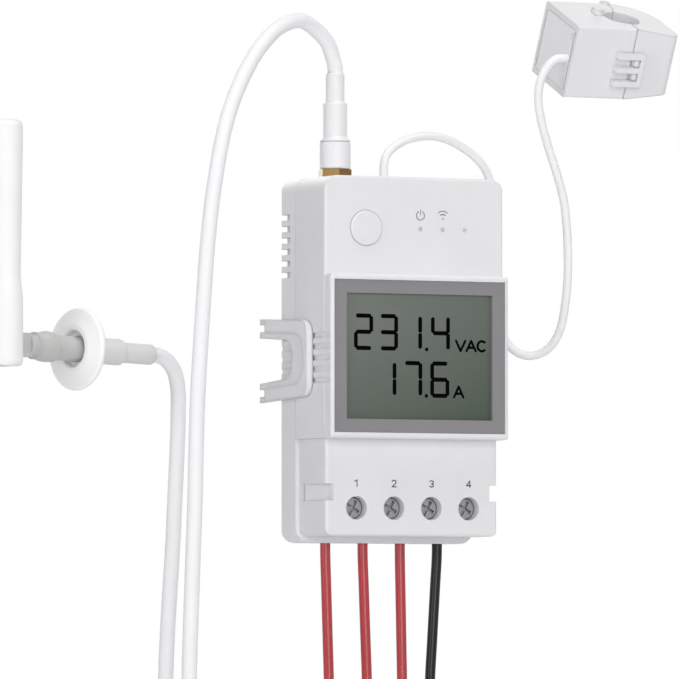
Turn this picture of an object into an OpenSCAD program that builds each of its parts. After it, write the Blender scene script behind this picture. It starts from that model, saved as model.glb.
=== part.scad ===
// Wall-mounted energy monitor: a display unit with a screw terminal row, a
// split-core current clamp on a lead, and a tilting antenna on a lead.
// The origin is the centre of the unit's flat rear face. X runs to the right,
// the front faces -Y and Z points up. "Depth" is measured forward from the rear.

/* [Housing] */
// Width of the housing
body_w = 54; // [50:0.5:66]
// Height of the housing
body_h = 98; // [94:0.5:118]
// Depth of the rear cover, up to the seam
cover_d = 8.9; // [8.4:0.1:11]
// Depth of the upper front panel
panel_d = 26.2; // [25.6:0.1:29]
// Depth of the display block's front
block_d = 29.6; // [29:0.1:36]
// Depth of the terminal panel's front
term_d = 24.6; // [24.2:0.1:25.4]
// Thickness of the outer walls
wall = 2; // [1.6:0.1:2.4]
// Radius of the housing's corners, seen from the front
corner_r = 4.2; // [1:0.1:5]
// Radius of the outer edges
edge_r = 0.8; // [0.3:0.1:1.2]
// How far the terminal section is set in on each side
term_inset = 1.1; // [0.5:0.1:1.6]
// How far the terminal section stops above the rear cover's lower rim
rim_h = 1.75; // [1:0.05:3]

/* [Display] */
// Width of the display block
block_w = 53.7; // [50:0.1:58]
// Height of the display block
block_h = 43.9; // [40:0.1:50]
// Height of the display block's centre above the middle of the housing
block_z = 0.65; // [-1:0.05:2]
// Width of the block's white rim at the sides
rim_side = 1.05; // [0.8:0.05:2]
// Width of the block's white rim at top and bottom
rim_top = 1.55; // [1:0.05:2.5]
// Thickness of the grey bezel
bezel_t = 1.1; // [0.8:0.1:1.6]
// How far the bezel's face lies behind the rim
bezel_sink = 0.3; // [0:0.05:0.6]
// Width of the visible display
lcd_w = 44; // [36:0.1:46]
// Height of the visible display
lcd_h = 33.6; // [28:0.1:36]
// Thickness of the display glass
lcd_t = 2.2; // [1.6:0.1:2.8]
// How far the glass and its light guide reach behind the bezel on each side
lcd_lap = 0.9; // [0.5:0.1:1.2]

/* [Button and lights] */
// Diameter of the push button
button_d = 9.4; // [7:0.1:11]
// Left-right place of the button
button_x = -14.6; // [-16:0.1:-12]
// Distance of the button and lights below the top
button_drop = 14; // [12:0.1:16]
// How far the button stands proud
button_proud = 0.5; // [0.3:0.1:1.2]
// Travel of the button
button_travel = 0.5; // [0.3:0.1:0.6]
// Gap round the button
button_gap = 0.1; // [0.1:0.05:0.4]
// Diameter of a light pipe
pipe_d = 1; // [0.8:0.1:2]
// Left-right place of the first light
light_x = 1.8; // [1:0.1:4]
// Spacing of the lights
light_pitch = 6.7; // [5:0.1:7]

/* [Terminals] */
// Spacing of the terminals
term_pitch = 11.3; // [10:0.1:12]
// Height of the terminal screws above the bottom
term_rise = 9.2; // [8.6:0.1:10.5]
// Diameter of the screwdriver holes
driver_d = 6.2; // [5.8:0.1:7]
// Diameter of a terminal screw's head
head_d = 5.4; // [4.6:0.1:5.6]
// Diameter of a terminal screw's shank
shank_d = 3; // [2.5:0.1:3.5]
// Travel of a wire clamp from tight to open
clamp_travel = 1.2; // [0.6:0.1:1.2]
// Diameter of a wire over its insulation
wire_d = 2.8; // [2:0.1:3.4]
// Diameter of a wire's copper core
core_d = 2; // [1.2:0.1:2.2]
// Depth of the wires
wire_depth = 6.2; // [6:0.1:6.6]

/* [Side clips] */
// Length of a clip along its arms
clip_l = 29.1; // [28:0.1:36]
// Height of a clip at its front bar
clip_h = 20.6; // [18:0.1:26]
// How far a clip's arms splay at their ends
clip_splay = 1; // [0:0.1:2]
// Height of an arm
clip_arm = 3.5; // [3:0.1:5]
// Width of a clip's front bar
clip_bar = 2.4; // [2:0.1:4]
// How far a clip stands proud of the side
clip_proud = 1.9; // [1.6:0.1:3]
// How far a clip's arms reach behind the rear face
clip_reach = 9.7; // [8:0.1:12]
// Spacing of the guide grooves
groove_pitch = 3; // [2.6:0.1:3.6]
// Height of a guide groove
groove_h = 1.6; // [1.2:0.1:2]
// Depth of a guide groove
groove_t = 0.6; // [0.4:0.1:0.8]

/* [Antenna socket and lead] */
// Left-right place of the aerial socket
sma_x = -17.2; // [-18:0.1:-14]
// Depth of the aerial socket and of the clamp lead
top_exit_d = 13; // [12:0.1:15]
// Diameter of the aerial socket's thread
sma_d = 6.35; // [6:0.05:6.6]
// Size of the socket's nut across its flats
sma_nut = 8; // [7.6:0.1:9]
// Thickness of the socket's nut
sma_nut_t = 2.2; // [1.6:0.1:2.6]
// Diameter of the plug's coupling sleeve
coupling_d = 8.4; // [8:0.1:10]
// Diameter of the antenna lead
coax_d = 4.1; // [3:0.1:4.2]

/* [Antenna] */
// Diameter of the panel flange
flange_d = 22; // [18:0.1:28]
// Thickness of the panel flange
flange_t = 2.8; // [2:0.1:4]
// Diameter of the flange's recess
flange_bore = 9.6; // [8.6:0.1:12]
// Diameter of the antenna's base barrel
barrel_d = 7.2; // [6.8:0.1:8]
// Distance from the flange to the mast's axis
mast_out = 25.6; // [25.2:0.1:32]
// Diameter of the mast
mast_d = 8.6; // [8:0.1:10]
// Length of the mast above its pin
mast_l = 58.8; // [50:0.1:90]
// Length of the mast below its pin
mast_foot = 6; // [5:0.1:6.2]
// Thickness of the hinge tongue
tongue_t = 3.6; // [3:0.1:4]
// Diameter of the hinge pin
mast_pin_d = 2; // [1.5:0.1:2.4]

/* [Current clamp] */
// Width of the fixed half
ct_fixed_w = 18.4; // [18.2:0.1:22]
// Width of the hinged cap
ct_cap_w = 13.7; // [11:0.1:14]
// Depth of the current clamp
ct_d = 20; // [19.6:0.1:24]
// Height of the current clamp
ct_h = 20.5; // [18:0.1:25]
// Diameter of the conductor window
ct_bore = 10; // [8:0.1:10.4]
// How much lower the cap is at its end, top and bottom
ct_taper = 1.9; // [0:0.1:2.2]
// Thickness of the iron core
core_t = 2.6; // [2:0.1:2.6]
// Height of the iron core
core_h = 12; // [9:0.1:13]
// Forward lean of the current clamp
ct_lean = 25; // [0:0.5:30]
// Diameter of the clamp lead
ct_lead_d = 2.3; // [1.8:0.1:2.6]

/* [Hidden] */
$fn = 48;

// Clearances
fit = 0.05;
slip = 0.15;
room = 0.3;
over = 1;

// Shadow line at the housing's seam
seam_w = 0.25;
seam_t = 0.2;

// Heights and inner faces of the housing
top_z = body_h / 2;
bottom_z = -top_z;
block_top = block_z + block_h / 2;
block_bottom = block_z - block_h / 2;
term_w = body_w - 2 * term_inset;
term_bottom = bottom_z + rim_h;
inner_w = body_w - 2 * wall;
left_side = [-body_w / 2, 0, 0];
right_side = [body_w / 2, 0, 0];
panel_in = panel_d - wall;
term_in = term_d - wall;

// Display stack, from the front to the rear
bezel_w = block_w - 2 * rim_side;
bezel_h = block_h - 2 * rim_top;
bezel_front = block_d - bezel_sink;
bezel_back = bezel_front - bezel_t;
glass_back = bezel_back - lcd_t;
glass_w = lcd_w + 2 * lcd_lap;
glass_h = lcd_h + 2 * lcd_lap;
board_t = 1.6;
show_back = 18.6;
show_front = show_back + board_t;

// Main board on its posts
main_back = 4.2;
main_front = main_back + board_t;
board_gap = 0.5;
main_w = inner_w - 2 * board_gap;
main_top = top_z - wall - 1;
main_bottom = bottom_z + 16.6;

// Housing screws
post_x = inner_w / 2 - 3.3;
post_high = top_z - wall - 5.1;
post_low = bottom_z + 22;
post_r = 3;
tap_r = 1.3;
screw_sink = 0.6;
screw_head_r = 2.5;
screw_head_t = 1.8;
screw_l = 14;
sink_r = screw_head_r + slip;
boss_floor = screw_sink + screw_head_t;

// Button and lights
button_z = top_z - button_drop;
flange_out = 0.9;
flange_front = panel_in - slip;
flange_back = flange_front - 1;
plunger_r = 1.7;
plunger_end = flange_back - 1.4;
switch_front = flange_back - button_travel - room;
switch_w = 6;
led_front = show_front + 0.9;
pipe_back = led_front + slip;
pipe_bar = [panel_in - 1.6, panel_in - 0.4];

// Terminals
term_z = bottom_z + term_rise;
term_shift = 0.3;
cell_w = 8.4;
cell_h = 7.6;
web_d = [15, 19.6];
head_front = 22.1;
block_front = term_in - slip;
block_x = (3 * term_pitch + cell_w) / 2 + 1.2;
bar_t = 1;
core_front = wire_depth + core_d / 2;
bar_back = core_front + fit;
clamp_w = 7.2;
clamp_h = 5.4;
clamp_wall = 0.8;
clamp_floor = [wire_depth - core_d / 2 - 1.4, wire_depth - core_d / 2 - 0.2];
clamp_nut = [bar_back + bar_t + room + clamp_travel, bar_back + bar_t + room + clamp_travel + 2.8];
shank_end = bar_back + bar_t + room;
cell_back = clamp_floor[0] - clamp_travel - room;
strip_z = bottom_z + 4.4;
core_top = term_z + clamp_h / 2 + 0.2;
wire_end = bottom_z - 39;
wire_low_x = [-15.6, -4.1, 6.6, 15.2];
ferrule_l = 6;
ferrule_pin = 8;

// Side clips
clip_z = block_z - 0.4;
groove_front = block_d - edge_r;
grooves = 5;
groove_r = (groove_h * groove_h / 4 + groove_t * groove_t) / (2 * groove_t);
clip_step = 1.2;
clip_lip = 1.6;
clip_web = 7.7;
clip_tail = 4.1;
clip_fork = clip_arm - 1.6;
clip_front = clip_l - clip_reach;

// Aerial socket and plug
nut_top = top_z + sma_nut_t;
coupling_base = nut_top + slip;
coupling_top = coupling_base + 7.3;
socket_top = coupling_base + 5;
sleeve_base = coupling_top + 0.1;
sleeve_mid = sleeve_base + 10.6;
sleeve_top = sleeve_mid + 8;
neck_r = 2.2;
socket_tail = top_z - wall - 3.5;

// Antenna, in a frame whose X runs from the flange to the mast
antenna_at = left_side + [-67.15, -15.65, 1.55];
antenna_turn = 195;
antenna_rise = 2;
sleeve_r = [3.5, 2.7];
sleeve_l = [14.1, 25];
mouth_r = 2.8;
flange_floor = 0.6;
barrel_front = 0.9;
barrel_end = mast_out - 7.2;
knuckle_r = 3.1;
mast_r = mast_d / 2;
mast_base_r = mast_r + 0.3;
mast_pin_l = 2 * mast_base_r - 2.2;

// Current clamp, in a frame whose Z is the conductor's axis, X from the seam
ct_at = right_side + [40, -16, top_z + 36.7];
seam = 0.1;
ct_wall = 1.1;
bore_r = ct_bore / 2;
core_in = bore_r + 1.2;
core_out = core_in + core_t;
core_back = ct_fixed_w - 4.4;
ring_r = 8;
ct_hinge = [0, ct_d / 2 + 0.6];
ct_hinge_r = 1.5;
ct_pin_r = 0.7;
knuckle_z = 4;
lead_y = -ct_d / 2 + 2.8;
lid_t = 1.1;
lid_rim = 1.7;
lid_face = -ct_fixed_w;
strap_x = [1.9, 3.3];
strap_y = -ct_d / 2 - 1.9;
latch_z = -1.2;
prong_h = 1.7;
prong_pitch = 3.95;

// Route of the antenna lead: an arch from the plug, then beside the unit, down and back up to the antenna
plug_end = [sma_x, -top_exit_d, sleeve_top];
antenna_route = concat(
    [
        for (p = [
            [0, 0, 0], [0, 0, 1.5], [-0.7, 0, 4], [-2.8, -1, 7.8], [-7.3, -2.5, 11.3],
            [-13.1, -5, 13.2], [-20.6, -8, 11], [-28, -11.5, 5.5], [-34.2, -15, -1.5], [-39.2, -17.5, -9.6]
        ])
            plug_end + p
    ],
    [
        for (p = [
            [-32.4, -32, 61], [-34.5, -33, 54.3], [-36.2, -34, 47.5], [-37.5, -34.5, 41], [-39.4, -35.4, 28],
            [-40.7, -36, 14.4], [-41.7, -36, 1], [-42.5, -36, -12], [-42.9, -36, -25], [-43.2, -36, -38],
            [-43.7, -36, -51], [-44.2, -36, -64.6], [-44.7, -36, -78], [-45, -36, -91], [-44.5, -33.6, -99],
            [-43.4, -28.6, -104], [-42, -23, -105.6], [-40.6, -17.4, -104], [-39.6, -12.4, -99],
            [-39.2, -10, -91],
            [-38.8, -9.8, -78], [-37.9, -9.5, -64.5], [-36.7, -9, -51], [-35.8, -8.5, -38], [-35, -8.2, -25],
            [-34.6, -8, -16], [-34.7, -8, -8], [-35.9, -8.1, -3.4], [-38.4, -8.35, -0.5]
        ])
            left_side + p
    ],
    [antenna_point(-sleeve_l[1] - 2), antenna_point(-sleeve_l[1])]
);

// Route of the clamp lead: over the top, down and up beside the unit, then to the current clamp
lead_exit = [-2.4, -top_exit_d, top_z];
clamp_route = concat(
    [
        for (p = [
            [0, 0, 0], [0, 0, 4], [1.2, 0.2, 7], [5.2, 1, 9.9], [10.4, 2, 11.7],
            [15.6, 3, 12.3], [20.9, 4, 11.7], [25.9, 5, 10], [30, 5.6, 7.8], [33.4, 6, 5],
            [35.8, 6.5, 1]
        ])
            lead_exit + p
    ],
    [
        for (p = [
            [7.6, -6, 44], [8, -6, 36], [8, -6, 28], [8, -6.5, 20], [8.3, -7.6, 13],
            [9.2, -9.2, 7.4], [11.4, -10.8, 3.8], [14.4, -12.6, 2.2], [17.8, -14.6, 2.8], [20.4, -16.6, 5.4],
            [22, -18.3, 10], [22.8, -19.5, 17], [23.2, -20, 24], [23.2, -20, 31], [22.8, -20, 38],
            [21.9, -20, 44.5], [20, -20, 51]
        ])
            right_side + p
    ],
    [
        for (p = [
            [-22.8, -4, -27], [-25, -4.3, -20.3], [-26.3, -4.8, -14.3], [-25.9, -5.4, -9.2],
            [-24.2, -6, -5.6], [-22, -6.5, -3.4]
        ])
            ct_at + p
    ],
    [clamp_point([lid_face - 2, lead_y, 0]), clamp_point([lid_face, lead_y, 0])]
);

function terminal_x(i) = (i - 1.5) * term_pitch + term_shift;
function light_at(i) = light_x + i * light_pitch;
function unit(v) = v / norm(v);
function heading(p, i) =
    i == 0 ? unit(p[1] - p[0])
    : i == len(p) - 1 ? unit(p[i] - p[i - 1])
    : unit(unit(p[i + 1] - p[i]) + unit(p[i] - p[i - 1]));
function headings(p) = [for (i = [0 : len(p) - 1]) heading(p, i)];
function carried(n, t) = unit(n - (n * t) * t);
function sideways(t, n, i = 0) =
    i == len(t) ? [] : let (m = carried(n, t[i])) concat([m], sideways(t, m, i + 1));

// Places in the antenna's and the current clamp's own frames, as seen by the unit
function antenna_point(x) = antenna_at + x * [
    cos(antenna_turn) * cos(antenna_rise),
    sin(antenna_turn) * cos(antenna_rise),
    sin(antenna_rise)
];
function clamp_point(p) = ct_at + [
    p[0],
    p[1] * cos(ct_lean) - p[2] * sin(ct_lean),
    p[1] * sin(ct_lean) + p[2] * cos(ct_lean)
];

// A round tube along a route
module tube(route, d, start, sides = 8) {
    t = headings(route);
    n = sideways(t, start);
    last = len(route) - 1;
    rings = [
        for (i = [0 : last], k = [0 : sides - 1])
            route[i] + d / 2 * (cos(360 * k / sides) * n[i] + sin(360 * k / sides) * cross(t[i], n[i]))
    ];
    walls = [
        for (i = [0 : last - 1], k = [0 : sides - 1])
            let (a = i * sides + k, b = i * sides + (k + 1) % sides)
                each [[a, a + sides, b + sides], [a, b + sides, b]]
    ];
    ends = [[for (k = [0 : sides - 1]) k], [for (k = [sides - 1 : -1 : 0]) last * sides + k]];
    polyhedron(points = rings, faces = concat(walls, ends));
}

// A box from its limits: left, right, two depths, low and high
module block(x0, x1, d0, d1, z0, z1) {
    translate([x0, -d1, z0]) cube([x1 - x0, d1 - d0, z1 - z0]);
}

// A front view outline drawn out from one depth to another
module forward(d0, d1) {
    translate([0, -d0, 0]) rotate([90, 0, 0]) linear_extrude(d1 - d0) children();
}

// A round bar that runs forward
module forward_bar(x, z, r, d0, d1) {
    translate([x, -d0, z]) rotate([90, 0, 0]) cylinder(r = r, h = d1 - d0);
}

// A round bar that stands upright
module upright_bar(x, d, r, z0, z1) {
    translate([x, -d, z0]) cylinder(r = r, h = z1 - z0);
}

module round_rect(w, h, r) {
    square([w - 2 * r, h], center = true);
    square([w, h - 2 * r], center = true);
    for (x = [-1, 1], y = [-1, 1])
        translate([x * (w / 2 - r), y * (h / 2 - r)]) circle(r);
}

// A rectangle from 0 to d whose two far corners are round
module round_front(w, d, r) {
    translate([-w / 2, 0]) square([w, d - r]);
    translate([-w / 2 + r, 0]) square([w - 2 * r, d]);
    for (x = [-1, 1])
        translate([x * (w / 2 - r), d - r]) circle(r);
}

// A moulded block: round corners in the front view and round front edges
module moulded(w, z0, z1, d0, d1, corner) {
    h = z1 - z0;
    intersection() {
        forward(d0, d1) translate([0, (z0 + z1) / 2]) round_rect(w, h, corner);
        translate([0, -d0, z0]) mirror([0, 1, 0]) linear_extrude(h) round_front(w, d1 - d0, edge_r);
        translate([-w / 2, -d0, (z0 + z1) / 2]) rotate([90, 0, 90]) linear_extrude(w)
            rotate(90) round_front(h, d1 - d0, edge_r);
    }
}

module at_posts() {
    for (x = [-1, 1], z = [post_low, post_high])
        translate([x * post_x, 0, z]) children();
}

// The round-bottomed grooves that guide the two side clips
module guide_grooves() {
    for (side = [-1, 1], i = [0 : grooves - 1]) {
        x = side * (body_w / 2 + groove_r - groove_t);
        z = clip_z + (i - (grooves - 1) / 2) * groove_pitch;
        forward_bar(x, z, groove_r, -over, groove_front);
    }
}

module rear_cover() {
    vent_h = 1.5;
    vents = 6;
    vent_pitch = 3.1;
    vent_top = top_z - 10.5;
    vent_d = 5.6;
    color("white") difference() {
        translate([0, -cover_d, 0]) mirror([0, 1, 0]) moulded(body_w, bottom_z, top_z, 0, cover_d, corner_r);
        difference() {
            forward(wall, cover_d + over) round_rect(inner_w, body_h - 2 * wall, corner_r - 1);
            at_posts() forward_bar(0, 0, post_r, 0, cover_d);
            for (x = [-1, 1], z = [main_bottom + 6, main_top - 14])
                forward_bar(x * (main_w / 2 - 1.6), z, 1.4, 0, main_back);
        }
        at_posts() {
            forward_bar(0, 0, sink_r, -over, boss_floor);
            forward_bar(0, 0, tap_r + slip, 0, cover_d + over);
        }
        for (side = [-1, 1], i = [0 : vents - 1])
            translate([side * body_w / 2, 0, vent_top - i * vent_pitch])
                block(-wall - fit, wall + fit, -over, vent_d, -vent_h / 2, vent_h / 2);
        for (i = [0 : 3])
            upright_bar(terminal_x(i), wire_depth, wire_d / 2 + slip, bottom_z - over, term_bottom + wall);
        guide_grooves();
    }
}

// The wedge cut beside the terminals where a blade lifts the front
module pry_notch() {
    notch_h = 4.4;
    notch_rise = 13.4;
    notch_in = 2.6;
    notch_back = 13.4;
    slit_d = [11.4, 12.2];
    translate([-term_w / 2, 0, bottom_z + notch_rise]) {
        translate([0, 0, -notch_h / 2]) linear_extrude(notch_h)
            polygon([[-over, -notch_back], [0, -notch_back], [notch_in, -term_d - over],
                [-over, -term_d - over]]);
        block(-over, 1.2, slit_d[0], slit_d[1], -notch_h / 2 - 0.2, notch_h / 2 + 0.2);
    }
}

module front_housing() {
    color("white") difference() {
        union() {
            moulded(body_w, block_bottom, top_z, cover_d, panel_d, corner_r);
            block(-body_w / 2, body_w / 2, cover_d, panel_d - edge_r, block_bottom, block_z);
            moulded(term_w, term_bottom, block_z, cover_d, term_d, corner_r / 2);
            moulded(block_w, block_bottom, block_top, cover_d, block_d, edge_r);
        }
        difference() {
            union() {
                block(-inner_w / 2, inner_w / 2, cover_d - over, panel_in, block_bottom + wall, top_z - wall);
                block(-term_w / 2 + wall, term_w / 2 - wall, cover_d - over, term_in,
                    term_bottom + wall, block_z);
            }
            at_posts() forward_bar(0, 0, post_r, 0, panel_in);
        }
        forward(panel_in - over, bezel_back + over) translate([0, block_z])
            square([glass_w + 2 * slip, glass_h + 2 * slip], center = true);
        forward(bezel_back, block_d + over) translate([0, block_z])
            square([bezel_w, bezel_h], center = true);
        at_posts() forward_bar(0, 0, tap_r, cover_d - over, screw_l + screw_sink + over);
        forward_bar(button_x, button_z, button_d / 2 + button_gap, panel_in - over, panel_d + over);
        for (i = [0 : 2])
            forward_bar(light_at(i), button_z, pipe_d / 2 + fit, panel_in - over, panel_d + over);
        for (i = [0 : 3])
            forward_bar(terminal_x(i), term_z, driver_d / 2, term_in - over, term_d + over);
        upright_bar(sma_x, top_exit_d, sma_d / 2 + fit, top_z - wall - over, top_z + over);
        upright_bar(lead_exit[0], top_exit_d, ct_lead_d / 2 + 1, top_z - wall - over, top_z + over);
        pry_notch();
        mirror([1, 0, 0]) pry_notch();
        forward(cover_d - over, cover_d + seam_w) difference() {
            square([2 * body_w, 2 * body_h], center = true);
            round_rect(body_w - 2 * seam_t, body_h - 2 * seam_t, corner_r - seam_t);
        }
        guide_grooves();
    }
}

module housing_screws() {
    color("silver") at_posts() difference() {
        union() {
            forward_bar(0, 0, screw_head_r, screw_sink, boss_floor);
            forward_bar(0, 0, tap_r - fit, screw_sink, screw_sink + screw_l);
        }
        for (turn = [0, 90])
            rotate([0, turn, 0]) block(-1.6, 1.6, 0, screw_sink + 1, -0.35, 0.35);
    }
}

module display_bezel() {
    color("gray") forward(bezel_back, bezel_front) translate([0, block_z]) difference() {
        square([bezel_w - 2 * fit, bezel_h - 2 * fit], center = true);
        square([lcd_w, lcd_h], center = true);
    }
}

module display_glass() {
    pane = 0.4;
    color("darkseagreen") {
        forward(glass_back, bezel_back) translate([0, block_z])
            square([glass_w, glass_h - 2 * pane], center = true);
        forward(glass_back, glass_back + lcd_t / 2) translate([0, block_z])
            square([glass_w, glass_h], center = true);
    }
}

module light_guide() {
    rail = 2;
    color("ivory") difference() {
        forward(show_front, glass_back) translate([0, block_z]) square([glass_w, glass_h], center = true);
        forward(show_front - over, glass_back - 2.4) translate([0, block_z])
            square([glass_w - 2 * rail, glass_h - 2 * rail], center = true);
    }
}

// Room in a board for the upper two screw posts, out to the corners
module board_corners(d0, d1) {
    at_posts() forward_bar(0, 0, post_r + room, d0 - over, d1 + over);
    for (x = [-1, 1])
        translate([x * inner_w / 2, 0, post_high])
            block(-inner_w / 2 + post_x, inner_w / 2 - post_x, d0 - over, d1 + over, 0, body_h);
}

module display_board() {
    show_w = inner_w - 2 * board_gap;
    show_bottom = block_bottom + wall + board_gap;
    color("darkgreen") difference() {
        block(-show_w / 2, show_w / 2, show_back, show_front, show_bottom, main_top);
        board_corners(show_back, show_front);
    }
}

module main_board() {
    color("darkgreen") difference() {
        block(-main_w / 2, main_w / 2, main_back, main_front, main_bottom, main_top);
        board_corners(main_back, main_front);
    }
}

// A pin strip that joins the two boards
module board_header() {
    pins = 8;
    pitch = 2.54;
    strip_t = 2.5;
    color("dimgray") translate([2, 0, -14]) {
        block(0, pins * pitch, main_front, main_front + strip_t, 0, pitch);
        block(0, pins * pitch, show_back - strip_t, show_back, 0, pitch);
        for (i = [0 : pins - 1])
            block(i * pitch + 0.95, i * pitch + 1.59, main_front, show_back, 0.95, 1.59);
    }
}

// The relay behind the two switched terminals
module relay() {
    color("royalblue") {
        block(-17, 3, main_front, main_front + 11.5, main_bottom + 1.4, main_bottom + 11.4);
        block(-16, 2, main_front + 11.5, main_front + 12, main_bottom + 2.4, main_bottom + 10.4);
    }
}

// A small ferrite transformer: an E core round a wound bobbin
module power_transformer() {
    color("darkkhaki") translate([-14, 0, -7]) {
        difference() {
            block(-7, 7, main_front + 1, main_front + 10.2, -3, 3);
            block(-4.6, 4.6, main_front + 3, main_front + 8.2, -4, 4);
        }
        block(-4.6, 4.6, main_front + 3, main_front + 8.2, -5.4, 5.4);
        block(-5, 5, main_front, main_front + 1.2, -6.4, 6.4);
        block(-5, 5, main_front, main_front + 8.6, -6.4, -5.4);
        block(-5, 5, main_front, main_front + 8.6, 5.4, 6.4);
    }
}

module bulk_capacitors() {
    can_r = 4;
    can_l = 11;
    color("midnightblue") for (x = [9, 18.4])
        translate([x, -main_front, -3]) rotate([90, 0, 0]) rotate_extrude()
            polygon([[0, 0], [can_r, 0], [can_r, 0.8], [can_r - 0.4, 1.3], [can_r, 1.8], [can_r, can_l - 0.4],
                [can_r - 0.4, can_l], [0, can_l]]);
}

module radio_module() {
    color("silver") {
        block(-21, -4, main_front, main_front + 0.8, 12, 36);
        block(-20, -5, main_front, main_front + 3, 13, 29.5);
        upright_bar(-8, main_front + 1.6, 0.9, 32, 34.4);
        block(-9, -7, main_front, main_front + 1.6, 32, 34.4);
    }
}

// The short inner cable from the aerial socket to the radio module
module rf_pigtail() {
    color("dimgray") tube([
        [sma_x, -top_exit_d, socket_tail], [sma_x, -top_exit_d, socket_tail - 2],
        [-15.6, -12, socket_tail - 5],
        [-11, -9.4, socket_tail - 6.6], [-8, -main_front - 1.6, 36], [-8, -main_front - 1.6, 34.4]
    ], 1.2, [1, 0, 0]);
}

// The clamp lead's inner end, down to its pads on the main board
module clamp_inner_lead() {
    color("whitesmoke") tube([
        lead_exit - [0, 0, wall + 0.8], lead_exit - [0, 0, wall + 2.4], [-2.2, -11.6, top_z - 7.4],
        [-2, -9, top_z - 9], [-2, -main_front - 1.2, top_z - 9.4], [-2, -main_front, top_z - 9.4]
    ], 1.8, [1, 0, 0]);
}

module button_cap() {
    r = button_d / 2;
    color("white") translate([button_x, 0, button_z]) rotate([90, 0, 0]) rotate_extrude()
        polygon([[0, flange_back], [r + flange_out, flange_back], [r + flange_out, flange_front],
            [r, flange_front], [r, panel_d + button_proud - 0.3], [r - 0.3, panel_d + button_proud],
            [0, panel_d + button_proud]]);
}

module switch_plunger() {
    color("dimgray") forward_bar(button_x, button_z, plunger_r, plunger_end, flange_back);
}

module button_switch() {
    bore_floor = plunger_end - button_travel - room;
    color("black") difference() {
        translate([button_x, 0, button_z])
            block(-switch_w / 2, switch_w / 2, show_front, switch_front, -switch_w / 2, switch_w / 2);
        forward_bar(button_x, button_z, plunger_r + fit, bore_floor, switch_front + over);
    }
}

module light_pipes() {
    color("aliceblue") {
        for (i = [0 : 2])
            forward_bar(light_at(i), button_z, pipe_d / 2, pipe_back, panel_d - 0.1);
        block(light_at(0) - 1.2, light_at(2) + 1.2, pipe_bar[0], pipe_bar[1], button_z - 1.4, button_z + 1.4);
    }
}

module indicator_lights() {
    color("lightyellow") for (i = [0 : 2])
        translate([light_at(i), 0, button_z]) block(-1, 1, show_front, led_front, -0.6, 0.6);
}

module terminal_block() {
    low = term_bottom + wall + slip;
    high = main_bottom - 0.4;
    color("whitesmoke") difference() {
        block(term_shift - block_x, term_shift + block_x, wall, block_front, low, high);
        for (i = [0 : 3]) {
            translate([terminal_x(i), 0, term_z])
                block(-cell_w / 2, cell_w / 2, cell_back, web_d[0], -cell_h / 2, cell_h / 2);
            forward_bar(terminal_x(i), term_z, shank_d / 2 + fit, web_d[0] - over, web_d[1] + over);
            forward_bar(terminal_x(i), term_z, head_d / 2 + room, web_d[1], block_front + over);
            upright_bar(terminal_x(i), wire_depth, wire_d / 2 + slip, low - over, term_z);
            translate([terminal_x(i), 0, 0])
                block(-2.8, 2.8, bar_back - fit, bar_back + bar_t + slip, term_z, high + over);
        }
    }
}

// Flat contacts, with feet on the main board
module contact_bars() {
    color("goldenrod") for (i = [0 : 3])
        translate([terminal_x(i), 0, 0]) {
            block(-2.6, 2.6, bar_back, bar_back + bar_t, term_z - clamp_h / 2, main_bottom + 1.2);
            block(-1.6, 1.6, main_front, bar_back + bar_t, main_bottom, main_bottom + 1.2);
        }
}

module wire_cores() {
    color("peru") for (i = [0 : 3])
        upright_bar(terminal_x(i), wire_depth, core_d / 2, strip_z, core_top);
}

module terminal_screw(i) {
    slot = 0.9;
    slot_l = head_d / 2 - 0.5;
    color("silver") translate([terminal_x(i), 0, term_z]) difference() {
        union() {
            forward_bar(0, 0, head_d / 2, web_d[1] + fit, head_front);
            forward_bar(0, 0, shank_d / 2, shank_end, head_front);
        }
        for (turn = [30, 120])
            rotate([0, turn, 0])
                block(-slot_l, slot_l, head_front - 1.1, head_front + over, -slot / 2, slot / 2);
    }
}

// The box clamp that climbs its screw and draws the wire up to the contact
module wire_clamp(i) {
    window = clamp_w / 2 - clamp_wall;
    color("lightsteelblue") translate([terminal_x(i), 0, term_z]) difference() {
        block(-clamp_w / 2, clamp_w / 2, clamp_floor[0], clamp_nut[1], -clamp_h / 2, clamp_h / 2);
        block(-window, window, clamp_floor[1], clamp_nut[0], -clamp_h, clamp_h);
        forward_bar(0, 0, shank_d / 2 + fit, clamp_floor[1], clamp_nut[1] + over);
    }
}

// A wire runs straight down out of its terminal and on to its ferrule
module wire(i, shade) {
    x = terminal_x(i);
    low = wire_low_x[i];
    exit = bottom_z - 3;
    color(shade) tube([
        [x, -wire_depth, strip_z], [x, -wire_depth, exit],
        for (s = [0.25, 0.5, 0.75]) [x + s * (low - x), -wire_depth, exit + s * (wire_end + 3 - exit)],
        [low, -wire_depth, wire_end + 3], [low, -wire_depth, wire_end]
    ], wire_d, [1, 0, 0]);
}

module wire_ferrules() {
    collar_r = wire_d / 2 + 0.4;
    color("gray") for (x = wire_low_x)
        translate([x, -wire_depth, wire_end]) mirror([0, 0, 1]) rotate_extrude()
            polygon([[0, 0], [collar_r, 0], [collar_r, ferrule_l - 1.5], [core_d / 2 + 0.2, ferrule_l],
                [core_d / 2 + 0.2, ferrule_l + ferrule_pin], [0, ferrule_l + ferrule_pin]]);
}

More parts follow.
